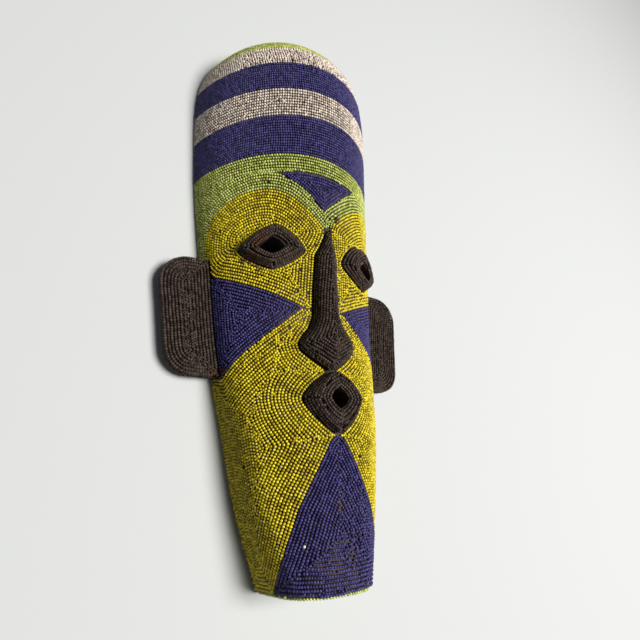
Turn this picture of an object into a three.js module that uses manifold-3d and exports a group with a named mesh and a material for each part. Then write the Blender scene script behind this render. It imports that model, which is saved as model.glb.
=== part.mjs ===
// A carved wooden mask covered with strings of glass seed beads, lying on its flat back rim.
// Millimetres. The crown points to +Y, the chin to -Y, the face looks up along +Z and the back
// rim lies in z = 0. "Left" and "right" are the sides as seen from the front, left at -X.
//
// The carving is one piece of wood: a curved shell with a nose, a mouth, two eye rims and two
// ears. Every colour field of beads is a thin skin laid over it. All shapes take a "grow" value,
// so that one function gives the bead surface (0), the inside of the skin and the wood below.
import * as THREE from 'three';
import { mergeVertices } from 'three/addons/utils/BufferGeometryUtils.js';
import { TessellateModifier } from 'three/addons/modifiers/TessellateModifier.js';
import Module from 'manifold-3d';

const wasm = await Module();
wasm.setup();

// Driving sizes of the whole mask.
const halfLength = 180; // from the line y = 0 to the end of the crown
const chinReach = 182; // and to the chin's flat end
const chinBevel = 1.6; // the round edge of the chin's end
const crownStart = 92; // from here on the sides round over to the crown
const foreheadPeak = 120; // the highest line of the forehead
const faceWidths = [[-180, 27.6], [-140, 39.4], [-100, 46.8], [-50, 56.2], [0, 61.1], [50, 65.2], [92, 66.3]];
const faceHeights = [[-180, 48.6], [-140, 47.2], [-100, 49.2], [-70, 45.8], [-40, 43], [0, 47.8], [50, 53.2],
  [92, 61.2], [120, 64.4]];
const sideSquareness = { chin: 4, middle: 1.8, crown: 1.7 }; // how upright the side walls stand
const topRoundness = { chin: 2.6, middle: 2.06, crown: 2.16 };

// The beads and the wood.
const skinThickness = 1.5;
const seam = 0.3; // clear space between touching pieces
const fieldSeam = 0.5; // clear space between two colour fields
const woodInset = -(skinThickness + seam);
const wallThickness = 8;
const skinFoot = 1; // the skins end this far above the rim

// The eye rims, by their corners: degrees round the mask's axis and the place along it.
const axisDepth = 12; // the axis that the angles turn about lies this far below the rim
const eyes = {
  left: {
    centre: [-30.3, 1.6], inner: [-12.5, 1.6], outer: [-50.2, 1.6], top: [-29.1, 17.1],
    bottom: [-31.3, -11.1],
  },
  right: {
    centre: [32.7, -2.4], inner: [12.7, -2.4], outer: [49.3, -2.4], top: [28, 15.2],
    bottom: [35.6, -13],
  },
};
const eyeHoleShare = 0.39; // size of the hole against the rim's outline
const eyeCrestShare = 0.7;
const eyeRise = 5.5;
const eyeHoleDrop = 0.8; // from the crest to the edge of the hole

// The nose: place along the mask, half width at its foot, height of its ridge, and how far the
// middle of its narrow top end leans over to the right.
const noseStations = [[19.2, 1.2, 51, 3], [15.8, 2.6, 51.8, 3], [9, 3.9, 53.2, 1.7], [4, 5.4, 54, 0.9],
  [0, 7.4, 54.4, 0.2], [-20, 8, 54, 0], [-38, 8.2, 53.8, 0], [-45, 11.2, 54.4, 0], [-50, 15.6, 54.8, 0],
  [-54.5, 18.4, 54.8, 0], [-59, 17.6, 54.4, 0], [-64, 11.6, 53, 0], [-68, 5.6, 50.6, 0], [-71, 1.4, 47.6, 0]];

// The mouth: a blunt diamond that stands out, with a diamond hole through it.
const mouth = {
  centre: [0, -86], side: 20, topReach: 16, bottomReach: 19.4,
  frontSide: 14.4, frontTopReach: 14.4, frontBottomReach: 17.6, front: 54.8, foot: 46.4, hole: 6.2,
};

// The ears: flat rounded slabs on the side walls, a little narrower and thicker towards the chin
// and the face.
const ears = { left: { centreY: -34, halfLength: 35.4 }, right: { centreY: -36.6, halfLength: 34.8 } };
const earReach = { top: 86.4, bottom: 82.4 };
const earRoot = 44;
const earCorner = 16;
const earUnderside = 4;
const earEdgeTop = 9.4; // height of the upper face at the outer edge
const earSlope = 0.08; // and its rise towards the face

// The borders between the colour fields, in the same degrees and places as the eyes.
const crownRimLine = 145.8;
const whiteUpperLine = 128.2;
const blueUpperLine = 107.7;
const whiteLowerLine = { middle: 89.2, drop: 1.4, tilt: 1.6, at: 75 };
const blueLowerLine = { middle: 63.8, drop: 5.6, tilt: 0, at: 75 };
const foreheadTriangle = [[-26.2, 50.6], [-14, 52], [0, 52.2], [12, 51.8], [23, 51.8], [15.5, 45], [9, 39.2],
  [0.1, 29.7], [-4.4, 33.8], [-9.2, 38.8], [-13.6, 42.6], [-20, 46.8]];
const browArch = { // the line between the green brow and a yellow eye field, from the nose outwards
  left: [[0, 18.3], [-5.7, 24], [-10, 28.2], [-15.5, 32.8], [-21, 36.6], [-27, 38.9], [-34, 39.9],
    [-41, 39.2], [-48, 37.2], [-54, 34.8], [-60, 30.8], [-66, 24.8], [-70, 18.6], [-71.6, 9], [-72, 0],
    [-70, -5.4]],
  right: [[5.4, 19.6], [6.4, 23.3], [11.2, 28.2], [16, 32.4], [23, 37.6], [31, 41.6], [38, 43], [45, 42],
    [52, 38.6], [58, 33.6], [64, 27], [69, 19.6], [71.6, 9], [72, 0], [70, -5.4]],
};
const cheekApex = { angle: 14, y: -32.4 };
const cheekTop = { angle: 65, y: -11.6 };
const cheekFoot = { angle: 64.2, y: -71 };
const neckY = -33.4; // the narrow yellow neck beside the nose, where the eye field ends
const chinEdge = [[1, -105.2], [4, -107.4], [14, -125.2], [22.4, -140], [29, -156], [34, -168.4],
  [39.4, -180.2]];
const chinEndDepth = skinThickness; // the skin on the chin's flat end
const sideAngle = 100; // an angle below the rim on either side

// Facets.
const sectionSteps = 12;
const bodyStations = [-chinReach, chinBevel - chinReach, -156, -130, -104, -80, -50, -20, 8, 36, 64, 92, 112,
  130, 144, 155, 164, 171, 176.5, 179.9];
const noseSteps = 8;
const rimPoints = 8;
const wedgeStep = 12; // degrees or millimetres
const wedgeReach = { above: 3, below: -4.5 };

const radians = THREE.MathUtils.degToRad;

// A smooth line through [place, value] pairs.
function smoothValue(points, place) {
  const last = points.length - 1;
  if (place <= points[0][0]) return points[0][1];
  if (place >= points[last][0]) return points[last][1];
  let i = 0;
  while (points[i + 1][0] < place) i += 1;
  const slope = (k) => {
    const a = points[Math.max(k - 1, 0)];
    const b = points[Math.min(k + 1, last)];
    return (b[1] - a[1]) / (b[0] - a[0]);
  };
  const [x0, y0] = points[i];
  const [x1, y1] = points[i + 1];
  const length = x1 - x0;
  const t = (place - x0) / length;
  const rise = (1 + 2 * t) * (1 - t) ** 2 * y0 + t * t * (3 - 2 * t) * y1;
  return rise + t * (1 - t) ** 2 * length * slope(i) - t * t * (1 - t) * length * slope(i + 1);
}

// A value that runs from the chin over the middle to the crown.
function alongMask({ chin, middle, crown }, y) {
  const t = THREE.MathUtils.clamp(y / halfLength, -1, 1);
  return middle + (crown - chin) / 2 * t + ((crown + chin) / 2 - middle) * t * t;
}

function halfWidthAt(y, grow) {
  const t = Math.max((y - crownStart) / (halfLength + grow - crownStart), 0);
  return (smoothValue(faceWidths, y) + grow) * Math.sqrt(Math.max(1 - t ** 3.33, 0));
}

function heightAt(y, grow) {
  const t = Math.max((y - foreheadPeak) / (halfLength + grow - foreheadPeak), 0);
  return (smoothValue(faceHeights, y) + grow) * Math.sqrt(Math.max(1 - t * t, 0));
}

// Height of the face over the rim at x, y.
function faceHeight(x, y, grow = 0) {
  const share = Math.min(Math.abs(x) / halfWidthAt(y, grow), 1);
  const fall = Math.max(1 - share ** alongMask(topRoundness, y), 0);
  return heightAt(y, grow) * fall ** (1 / alongMask(sideSquareness, y));
}

// The point at an angle round the mask's axis, a distance outside the face.
function pointAtAngle(angle, y, outside) {
  const direction = new THREE.Vector3(Math.sin(radians(angle)), 0, Math.cos(radians(angle)));
  let near = 5;
  let far = 110;
  for (let i = 0; i < 40; i += 1) {
    const middle = (near + far) / 2;
    const x = direction.x * middle;
    const z = direction.z * middle - axisDepth;
    const inside = Math.abs(x) < halfWidthAt(y, 0) && z < faceHeight(x, y);
    if (inside) near = middle;
    else far = middle;
  }
  return direction.multiplyScalar(near + outside).add(new THREE.Vector3(0, y, -axisDepth));
}

// A closed solid through rings that all have the same number of points.
function loftSolid(rings) {
  const count = rings[0].length;
  const points = rings.flat();
  const faces = [];
  for (let r = 0; r + 1 < rings.length; r += 1) {
    for (let k = 0; k < count; k += 1) {
      const a = r * count + k;
      const b = r * count + (k + 1) % count;
      faces.push(a, b, b + count, a, b + count, a + count);
    }
  }
  const ends = [[rings[0], 0, true], [rings.at(-1), (rings.length - 1) * count, false]];
  for (const [ring, start, flip] of ends) {
    const middle = ring.reduce((sum, p) => sum.add(p), new THREE.Vector3()).divideScalar(count);
    points.push(middle);
    const hub = points.length - 1;
    for (let k = 0; k < count; k += 1) {
      const a = start + k;
      const b = start + (k + 1) % count;
      faces.push(...(flip ? [b, a, hub] : [a, b, hub]));
    }
  }
  const geometry = new THREE.BufferGeometry().setFromPoints(points);
  geometry.setIndex(faces);
  return toSolid(geometry);
}

// Turns a closed geometry into a solid whose faces point out.
function toSolid(source) {
  const bare = source.clone();
  bare.deleteAttribute('normal');
  bare.deleteAttribute('uv');
  const geometry = mergeVertices(bare, 1e-5);
  const place = geometry.getAttribute('position');
  const index = Array.from(geometry.index.array);
  const [a, b, c] = [new THREE.Vector3(), new THREE.Vector3(), new THREE.Vector3()];
  let volume = 0;
  const faces = [];
  for (let i = 0; i < index.length; i += 3) {
    if (index[i] === index[i + 1] || index[i + 1] === index[i + 2] || index[i] === index[i + 2]) continue;
    a.fromBufferAttribute(place, index[i]);
    b.fromBufferAttribute(place, index[i + 1]);
    c.fromBufferAttribute(place, index[i + 2]);
    volume += a.dot(b.cross(c));
    faces.push(index[i], index[i + 1], index[i + 2]);
  }
  if (volume < 0) faces.reverse();
  return new wasm.Manifold(new wasm.Mesh({
    numProp: 3, vertProperties: new Float32Array(place.array), triVerts: new Uint32Array(faces),
  }));
}

function toGeometry(solid) {
  const mesh = solid.getMesh();
  const geometry = new THREE.BufferGeometry();
  geometry.setAttribute('position', new THREE.BufferAttribute(mesh.vertProperties, 3));
  geometry.setIndex(new THREE.BufferAttribute(mesh.triVerts, 1));
  return geometry;
}

function boxSolid(low, high) {
  const size = high.map((value, i) => value - low[i]);
  const geometry = new THREE.BoxGeometry(...size);
  geometry.translate(...low.map((value, i) => value + size[i] / 2));
  return toSolid(geometry);
}

// The curved face as a block, down to the rim or a little below it.
function faceBlock(grow, below = 0) {
  const rings = bodyStations.map((station) => {
    let y = station;
    let offset = grow;
    if (station > crownStart) {
      const stretch = (halfLength + grow - crownStart) / (halfLength - crownStart);
      y = crownStart + (station - crownStart) * stretch;
    } else if (station <= chinBevel - chinReach) {
      y = station - grow;
      if (station === -chinReach) offset -= chinBevel;
    }
    const width = halfWidthAt(y, offset);
    const ring = [];
    for (let k = 0; k <= sectionSteps; k += 1) {
      const x = width * Math.sin(Math.PI * (k / sectionSteps - 0.5));
      const atRim = k === 0 || k === sectionSteps;
      ring.push(new THREE.Vector3(x, y, atRim ? 0 : faceHeight(x, y, offset)));
    }
    if (below > 0) ring.push(new THREE.Vector3(width, y, -below), new THREE.Vector3(-width, y, -below));
    return ring;
  });
  return loftSolid(rings);
}

function noseBlock(grow) {
  const rings = noseStations.map(([station, foot, ridge, middle], i) => {
    let y = station;
    if (i === 0) y += grow;
    if (i === noseStations.length - 1) y -= grow;
    const width = Math.max(foot + grow, 0.4);
    const base = faceHeight(0, y) - 6;
    const top = ridge + grow - base;
    const ring = [];
    for (let k = 0; k <= noseSteps; k += 1) {
      const side = Math.sin(Math.PI * (k / noseSteps - 0.5));
      const rise = Math.max(1 - Math.abs(side) ** 2.2, 0) ** (1 / 2.6);
      ring.push(new THREE.Vector3(middle + width * side, y, base + top * rise));
    }
    return ring;
  });
  return loftSolid(rings);
}

// A rounded diamond round a centre, by how far its four corners reach.
function diamond(centre, [left, right, bottom, top], place) {
  const ring = [];
  for (let k = 0; k < rimPoints; k += 1) {
    const turn = 2 * Math.PI * k / rimPoints;
    const across = Math.sign(Math.cos(turn)) * Math.abs(Math.cos(turn)) ** 1.5;
    const along = Math.sign(Math.sin(turn)) * Math.abs(Math.sin(turn)) ** 1.5;
    const u = centre[0] + across * (across < 0 ? left : right);
    const v = centre[1] + along * (along < 0 ? bottom : top);
    ring.push(place(u, v));
  }
  return ring;
}

function mouthBlock(grow) {
  const { centre, side, topReach, bottomReach, frontSide, frontTopReach, frontBottomReach } = mouth;
  const ring = (z, across, down, up) => diamond(
    centre,
    [across + grow, across + grow, down + grow * 1.3, up + grow * 1.3],
    (x, y) => new THREE.Vector3(x, y, z),
  );
  return loftSolid([
    ring(mouth.foot - 8, side, bottomReach, topReach),
    ring(mouth.foot, side, bottomReach, topReach),
    ring(mouth.front - 1.4 + grow, frontSide + 0.6, frontBottomReach + 0.6, frontTopReach + 0.6),
    ring(mouth.front + grow, frontSide - 0.8, frontBottomReach - 1, frontTopReach - 1),
  ]);
}

function mouthHole(grow) {
  const ring = (z, wider) => {
    const size = mouth.hole + wider + grow;
    return diamond(mouth.centre, [size, size, size, size], (x, y) => new THREE.Vector3(x, y, z));
  };
  return loftSolid([ring(10, -1), ring(48, -0.6), ring(70, 2)]);
}

// One ring of an eye rim: its outline drawn in towards the centre, a distance outside the face.
function eyeRing(eye, share, grow, outside) {
  const perDegree = radians(61); // the face lies about 61 mm from the axis here
  const across = (corner) => Math.abs(corner[0] - eye.centre[0]) * share + grow / perDegree;
  const along = (corner) => Math.abs(corner[1] - eye.centre[1]) * share + grow;
  const [low, high] = eye.inner[0] < eye.outer[0] ? [eye.inner, eye.outer] : [eye.outer, eye.inner];
  const lean = (eye.bottom[0] - eye.top[0]) / (eye.bottom[1] - eye.top[1]);
  return diamond(
    eye.centre,
    [across(low), across(high), along(eye.bottom), along(eye.top)],
    (angle, y) => pointAtAngle(angle + lean * (y - eye.centre[1]), y, outside),
  );
}

function eyeBlock(eye, grow) {
  return loftSolid([
    eyeRing(eye, 1, grow, -7),
    eyeRing(eye, 1, grow, grow),
    eyeRing(eye, eyeCrestShare + 0.08, grow, eyeRise - 0.8 + grow),
    eyeRing(eye, eyeCrestShare - 0.04, grow * 0.2, eyeRise + grow),
    eyeRing(eye, eyeHoleShare, -grow * 0.6, eyeRise - eyeHoleDrop + grow),
  ]);
}

// The hole through an eye, bored straight back from the edge of its rim.
function eyeHole(eye, grow) {
  const edge = eyeRing(eye, eyeHoleShare, grow, eyeRise - eyeHoleDrop);
  const middle = edge.reduce((sum, p) => sum.add(p), new THREE.Vector3()).divideScalar(edge.length);
  const behind = (drop, share) => edge.map((point) => {
    const moved = point.clone().lerp(middle, 1 - share);
    return moved.setZ(moved.z - drop);
  });
  const front = eyeRing(eye, eyeHoleShare * 1.25, grow, eyeRise + 6);
  return loftSolid([behind(45, 0.98), behind(6, 0.98), edge, front]);
}

// An ear slab; side is -1 on the left and 1 on the right.
function earBlock(ear, side, grow, underside) {
  const half = ear.halfLength + grow;
  const corner = earCorner + grow;
  const top = earReach.top - earCorner;
  const bottom = earReach.bottom - earCorner;
  const outline = new THREE.Shape();
  outline.moveTo(earRoot, -half);
  outline.lineTo(bottom, -half);
  outline.absarc(bottom, corner - half, corner, -Math.PI / 2, 0);
  outline.absarc(top, half - corner, corner, 0, Math.PI / 2);
  outline.lineTo(earRoot, half);
  const depth = earEdgeTop + grow - underside;
  const geometry = new THREE.ExtrudeGeometry(outline, { depth, bevelEnabled: false, curveSegments: 5 });
  geometry.translate(0, ear.centreY, underside);
  const place = geometry.getAttribute('position');
  for (let i = 0; i < place.count; i += 1) {
    const rise = (earReach.top - place.getX(i)) * earSlope;
    if (place.getZ(i) > underside + depth / 2) place.setZ(i, place.getZ(i) + rise);
  }
  if (side < 0) geometry.scale(-1, 1, 1);
  return toSolid(geometry);
}

// An outline in degrees and millimetres, as a block that holds the skin of the face inside it. Its
// side walls point to the mask's axis.
function fieldWedge(outline) {
  const inset = insetOutline(outline, fieldSeam / 2);
  const shape = new THREE.Shape(inset.map(([angle, y]) => new THREE.Vector2(angle, y)));
  const flat = new THREE.ExtrudeGeometry(shape, { depth: 1, bevelEnabled: false });
  const geometry = new TessellateModifier(wedgeStep, 10).modify(flat);
  const place = geometry.getAttribute('position');
  for (let i = 0; i < place.count; i += 1) {
    const outside = place.getZ(i) > 0.5 ? wedgeReach.above : wedgeReach.below;
    const point = pointAtAngle(place.getX(i), place.getY(i), outside);
    place.setXYZ(i, point.x, point.y, point.z);
  }
  return toSolid(geometry);
}

// The same for a field between two straight lines across the mask.
function straightBand(from, to) {
  return boxSolid([-200, from + fieldSeam / 2, -1], [200, to - fieldSeam / 2, 200]);
}

// Moves every edge of an outline inwards.
function insetOutline(outline, distance) {
  const perDegree = radians(60);
  const flat = outline.map(([angle, y]) => new THREE.Vector2(angle * perDegree, y));
  const inwards = THREE.ShapeUtils.area(flat) > 0 ? 1 : -1;
  const normal = (a, b) => {
    const edge = b.clone().sub(a).normalize();
    return new THREE.Vector2(-edge.y * inwards, edge.x * inwards);
  };
  return flat.map((point, i) => {
    const before = normal(flat.at(i - 1), point);
    const after = normal(point, flat[(i + 1) % flat.length]);
    const way = before.clone().add(after).normalize();
    const reach = Math.min(distance / Math.max(way.dot(after), 0.3), distance * 3);
    const moved = point.clone().addScaledVector(way, reach);
    return [moved.x / perDegree, moved.y];
  });
}

// A border that runs across the whole mask, sampled from side to side.
function acrossMask(line) {
  const points = [];
  for (let angle = -sideAngle; angle <= sideAngle; angle += 10) {
    let y = line;
    if (typeof line !== 'number') {
      const share = THREE.MathUtils.clamp(angle / line.at, -1.1, 1.1);
      y = line.middle + line.tilt * share - line.drop * share * share;
    }
    points.push([angle, y]);
  }
  return points;
}

function band(lower, upper) {
  return [...acrossMask(lower), ...acrossMask(upper).reverse()];
}

function greenBrow() {
  const left = browArch.left;
  const right = browArch.right;
  return [
    ...acrossMask(blueLowerLine).reverse(),
    [-sideAngle, -6], [-71, -6], ...[...left].reverse(), ...right, [71, -6], [sideAngle, -6],
  ];
}

function mirrored(points, side) {
  return points.map(([angle, y]) => [Math.abs(angle) * side, y]);
}

function steps(from, to, count) {
  const points = [];
  for (let i = 1; i < count; i += 1) {
    points.push([from[0] + (to[0] - from[0]) * i / count, from[1] + (to[1] - from[1]) * i / count]);
  }
  return points;
}

function eyeField(side) {
  const arch = side < 0 ? browArch.left : browArch.right;
  const top = [side * cheekTop.angle, cheekTop.y];
  const apex = [side * cheekApex.angle, cheekApex.y];
  return [...arch, top, ...steps(top, apex, 6), apex, [side * cheekApex.angle, neckY], [side, neckY]];
}

function cheekTriangle(side) {
  const top = [side * cheekTop.angle, cheekTop.y];
  const apex = [side * cheekApex.angle, cheekApex.y];
  const foot = [side * cheekFoot.angle, cheekFoot.y];
  return [
    ...[[sideAngle, cheekTop.y], [80, cheekTop.y]].map(([angle, y]) => [side * angle, y]),
    top, ...steps(top, apex, 6), apex, ...steps(apex, foot, 6), foot,
    [side * 80, cheekFoot.y], [side * sideAngle, cheekFoot.y],
  ];
}

function cheekField(side) {
  const apex = [side * cheekApex.angle, cheekApex.y];
  const foot = [side * cheekFoot.angle, cheekFoot.y];
  const chinLine = mirrored(chinEdge, side);
  const corner = [side * sideAngle, chinLine.at(-1)[1]];
  return [
    [side, neckY], [side * cheekApex.angle, neckY], ...steps(apex, foot, 6), foot,
    [side * 80, cheekFoot.y], [side * sideAngle, cheekFoot.y], corner, ...steps(corner, chinLine.at(-1), 6),
    ...[...chinLine].reverse(),
  ];
}

function chinTriangle() {
  return [...mirrored(chinEdge, -1), ...steps(mirrored(chinEdge, -1).at(-1), chinEdge.at(-1), 8),
    ...[...chinEdge].reverse()];
}

const sides = { left: -1, right: 1 };
const colours = {
  wood: 0x4a2e1c, green: 0x8fae4a, white: 0xcfc4bf, blue: 0x2a2a5e, yellow: 0xc9b21a, black: 0x2b2422,
};

function material(name, roughness) {
  return new THREE.MeshStandardMaterial({ color: colours[name], roughness, metalness: 0 });
}

const mask = new THREE.Group();

function addPiece(name, solid, look) {
  const mesh = new THREE.Mesh(toGeometry(solid), material(look, look === 'wood' ? 0.85 : 0.3));
  mesh.name = name;
  mask.add(mesh);
}

// The raised features at one grow value, joined.
function features(grow) {
  let joined = noseBlock(grow).add(mouthBlock(grow));
  for (const eye of Object.values(eyes)) joined = joined.add(eyeBlock(eye, grow));
  return joined;
}

function holes(grow) {
  return mouthHole(grow).add(eyeHole(eyes.left, grow)).add(eyeHole(eyes.right, grow));
}

function addCarving() {
  let wood = faceBlock(woodInset).add(features(woodInset));
  for (const [name, side] of Object.entries(sides)) {
    wood = wood.add(earBlock(ears[name], side, woodInset, earUnderside));
  }
  wood = wood.subtract(faceBlock(woodInset - wallThickness, 5)).subtract(holes(0));
  addPiece('wooden_mask', wood, 'wood');
}

// The skins of the raised features, each down to the face around it.
function addFeatureSkins() {
  const inside = faceBlock(-skinThickness, 5);
  const nose = noseBlock(0).subtract(noseBlock(-skinThickness)).subtract(inside);
  addPiece('beads_black_nose', nose, 'black');
  const lips = mouthBlock(0).subtract(mouthBlock(-skinThickness)).subtract(inside);
  addPiece('beads_black_mouth', lips.subtract(noseBlock(seam)).subtract(mouthHole(seam)), 'black');
  for (const [name, eye] of Object.entries(eyes)) {
    const rim = eyeBlock(eye, 0).subtract(eyeBlock(eye, -skinThickness)).subtract(inside);
    addPiece(`beads_black_eye_${name}`, rim.subtract(eyeHole(eye, seam)), 'black');
  }
  const outside = faceBlock(seam, 5);
  for (const [name, side] of Object.entries(sides)) {
    const foot = earUnderside + skinFoot;
    const slab = earBlock(ears[name], side, 0, foot);
    const skin = slab.subtract(earBlock(ears[name], side, -skinThickness, foot - 5)).subtract(outside);
    addPiece(`beads_black_ear_${name}`, skin, 'black');
  }
}

// The skin of the face, cut into its colour fields.
function addFieldSkins() {
  let skin = faceBlock(0).subtract(faceBlock(-skinThickness, 5)).subtract(features(seam));
  for (const [name, side] of Object.entries(sides)) {
    skin = skin.subtract(earBlock(ears[name], side, seam, -5));
  }
  skin = skin.intersect(boxSolid([-200, -200, skinFoot], [200, 200, 200]));
  const chinEndLine = -chinReach + chinEndDepth;
  const triangle = fieldWedge(foreheadTriangle);
  const triangleRoom = fieldWedge(insetOutline(foreheadTriangle, -fieldSeam));
  const add = (name, look, wedge) => addPiece(`beads_${look}_${name}`, skin.intersect(wedge), look);
  add('crown_rim', 'green', straightBand(crownRimLine, 200));
  add('band_upper', 'white', straightBand(whiteUpperLine, crownRimLine));
  add('band_upper', 'blue', straightBand(blueUpperLine, whiteUpperLine));
  add('band_lower', 'white', fieldWedge(band(whiteLowerLine, blueUpperLine)));
  add('band_lower', 'blue', fieldWedge(band(blueLowerLine, whiteLowerLine)));
  add('brow', 'green', fieldWedge(greenBrow()).subtract(triangleRoom));
  add('forehead_triangle', 'blue', triangle);
  for (const [name, side] of Object.entries(sides)) {
    add(`eye_field_${name}`, 'yellow', fieldWedge(eyeField(side)));
    add(`cheek_triangle_${name}`, 'blue', fieldWedge(cheekTriangle(side)));
    add(`cheek_${name}`, 'yellow', fieldWedge(cheekField(side)));
  }
  add('chin', 'blue', fieldWedge(chinTriangle()));
  add('chin_end', 'green', boxSolid([-200, -chinReach - 1, -1], [200, chinEndLine, 200]));
}

addCarving();
addFeatureSkins();
addFieldSkins();
mask.position.y = (chinReach - halfLength) / 2; // the origin lies midway between the crown and the chin

export default mask;
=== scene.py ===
import math

import bpy
import numpy as np
from mathutils import Matrix, Vector
from mathutils.kdtree import KDTree


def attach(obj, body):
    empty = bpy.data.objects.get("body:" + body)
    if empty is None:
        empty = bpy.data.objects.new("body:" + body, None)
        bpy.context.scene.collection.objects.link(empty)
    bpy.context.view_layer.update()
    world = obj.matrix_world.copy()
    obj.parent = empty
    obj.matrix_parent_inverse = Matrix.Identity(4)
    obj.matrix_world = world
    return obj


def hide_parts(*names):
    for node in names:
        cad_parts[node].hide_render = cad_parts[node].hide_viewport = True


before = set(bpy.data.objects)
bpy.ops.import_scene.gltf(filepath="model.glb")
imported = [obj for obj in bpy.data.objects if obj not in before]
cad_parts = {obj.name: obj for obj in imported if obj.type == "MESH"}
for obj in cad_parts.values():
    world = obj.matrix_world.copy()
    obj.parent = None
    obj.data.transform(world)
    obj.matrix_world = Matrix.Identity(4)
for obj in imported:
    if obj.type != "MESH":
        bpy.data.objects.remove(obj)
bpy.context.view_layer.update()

# Lengths in this script are millimetres, in the frame's own axes, until a mesh is made.
mm = 0.001
rng = np.random.default_rng(11)

# The curved face, with the same sizes as the solids. The chin is at -y and the crown at +y, and the
# widths and heights are pairs of y and size. At the end everything moves by face["middleShift"] along y.
face = {
    "halfLength": 180.0, "chinReach": 182.0, "chinBevel": 1.6, "middleShift": 1.0, "axisDepth": 12.0,
    "crownStart": 92.0, "crownPower": 3.33, "foreheadPeak": 120.0, "domeTop": 63.5,
    "widths": [(-180, 27.6), (-140, 39.4), (-100, 46.8), (-50, 56.2), (0, 61.1), (50, 65.2), (92, 66.3)],
    "heights": [(-180, 48.6), (-140, 47.2), (-100, 49.2), (-70, 45.8), (-40, 43), (0, 47.8), (50, 53.2),
                (92, 61.2), (120, 64.4)],
    "sideSquareness": {"chin": 4.0, "middle": 1.8, "crown": 1.7},
    "topRoundness": {"chin": 2.6, "middle": 2.06, "crown": 2.16},
}
tableStep = 0.5
leastWidth = 0.01
nearZero = 1e-9
tableEnd = 1.001  # keeps a place inside the last cell of a table
# How many places are worked out round a section, round a ring and along a few edges.
samples = {"section": 181, "evenSection": 141, "noseSection": 90, "evenNose": 61, "ring": 144,
           "earRoot": 12, "cheekBesideEar": 20, "chinArch": 60}

# A seed bead and how closely the beads lie. The blue and black strings are the tight ones.
bead = {
    "radius": 0.92, "halfLength": 0.71, "endRadius": 0.46, "wideEndRadius": 0.66, "sides": 6,
    "rowPitch": 1.88, "pitch": 1.62, "tightPitch": 1.5, "leastDistance": 1.36, "tightDistance": 1.28,
    "fillDistance": 1.18, "rimClearance": 0.1, "missingShare": 0.001,
}
rowPitch, tightPitch = bead["rowPitch"], bead["tightPitch"]
tightColours = ("blue", "black")
sides = ((-1, "left"), (1, "right"))


def smoothValue(points, place):
    xs, ys = np.array(points, float).T
    before = np.maximum(np.arange(len(xs)) - 1, 0)
    after = np.minimum(np.arange(len(xs)) + 1, len(xs) - 1)
    slope = (ys[after] - ys[before]) / (xs[after] - xs[before])
    place = np.clip(place, xs[0], xs[-1])
    i = np.clip(np.searchsorted(xs, place, side="right") - 1, 0, len(xs) - 2)
    length = xs[i + 1] - xs[i]
    t = (place - xs[i]) / length
    value = (1 + 2 * t) * (1 - t) ** 2 * ys[i] + t * t * (3 - 2 * t) * ys[i + 1]
    return value + t * (1 - t) ** 2 * length * slope[i] - t * t * (1 - t) * length * slope[i + 1]


def runningSum(steps):
    return np.concatenate([[0], np.cumsum(steps)])


def unit(vectors):
    return vectors / np.maximum(np.linalg.norm(vectors, axis=-1, keepdims=True), nearZero)


def pointsAt(stops, length, points):
    # Points of a line in space or on a sheet, at distances along it.
    return np.stack([np.interp(stops, length, column) for column in points.T], -1)


def sampleGrid(values, u, v):
    j = np.clip(u, 0, values.shape[1] - tableEnd)
    i = np.clip(v, 0, values.shape[0] - tableEnd)
    i0, j0 = i.astype(int), j.astype(int)
    s, t = i - i0, j - j0
    return ((1 - s) * ((1 - t) * values[i0, j0] + t * values[i0, j0 + 1])
            + s * ((1 - t) * values[i0 + 1, j0] + t * values[i0 + 1, j0 + 1]))


def alongMask(sizes, y):
    t = np.clip(y / face["halfLength"], -1, 1)
    chin, middle, crown = sizes["chin"], sizes["middle"], sizes["crown"]
    return middle + (crown - chin) / 2 * t + ((crown + chin) / 2 - middle) * t * t


def bevelAt(y):
    return np.clip(face["chinBevel"] - face["chinReach"] - y, 0, face["chinBevel"])


def halfWidthAt(y):
    t = np.clip((y - face["crownStart"]) / (face["halfLength"] - face["crownStart"]), 0, 1)
    return (smoothValue(face["widths"], y) - bevelAt(y)) * np.sqrt(1 - t ** face["crownPower"])


def heightAt(y):
    t = np.clip((y - face["foreheadPeak"]) / (face["halfLength"] - face["foreheadPeak"]), 0, 1)
    # The solids run straight through their highest band, and so does the top of the dome here.
    return np.minimum((smoothValue(face["heights"], y) - bevelAt(y)) * np.sqrt(1 - t * t), face["domeTop"])


def faceHeight(x, y):
    share = np.minimum(np.abs(x) / np.maximum(halfWidthAt(y), leastWidth), 1)
    fall = np.maximum(1 - share ** alongMask(face["topRoundness"], y), 0)
    return heightAt(y) * fall ** (1 / alongMask(face["sideSquareness"], y))


# The face is unrolled to a flat sheet: "across" is the length of the way round the section from the
# middle line, "along" is the length of the middle line from y = 0.
tableY = np.arange(-face["chinReach"], face["halfLength"], tableStep)
sectionShare = np.sin(np.linspace(0, math.pi / 2, samples["section"]))
evenShare = np.linspace(0, 1, samples["evenSection"])
middleHeight = heightAt(tableY)
tableAlong = runningSum(np.hypot(tableStep, np.diff(middleHeight)))
tableAlong -= np.interp(0, tableY, tableAlong)
sections = []
for y in tableY:
    x = sectionShare * halfWidthAt(y)
    z = faceHeight(x, np.full_like(x, y))
    z[-1] = 0
    sections.append((x, z, runningSum(np.hypot(np.diff(x), np.diff(z)))))
tableHalfArc = np.array([arc[-1] for _, _, arc in sections])
tableShare = np.array([np.interp(evenShare * arc[-1], arc, x) / max(x[-1], leastWidth)
                       for x, _, arc in sections])


def sectionAt(y):
    return sections[int(np.clip(round((y - tableY[0]) / tableStep), 0, len(tableY) - 1))]


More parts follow.
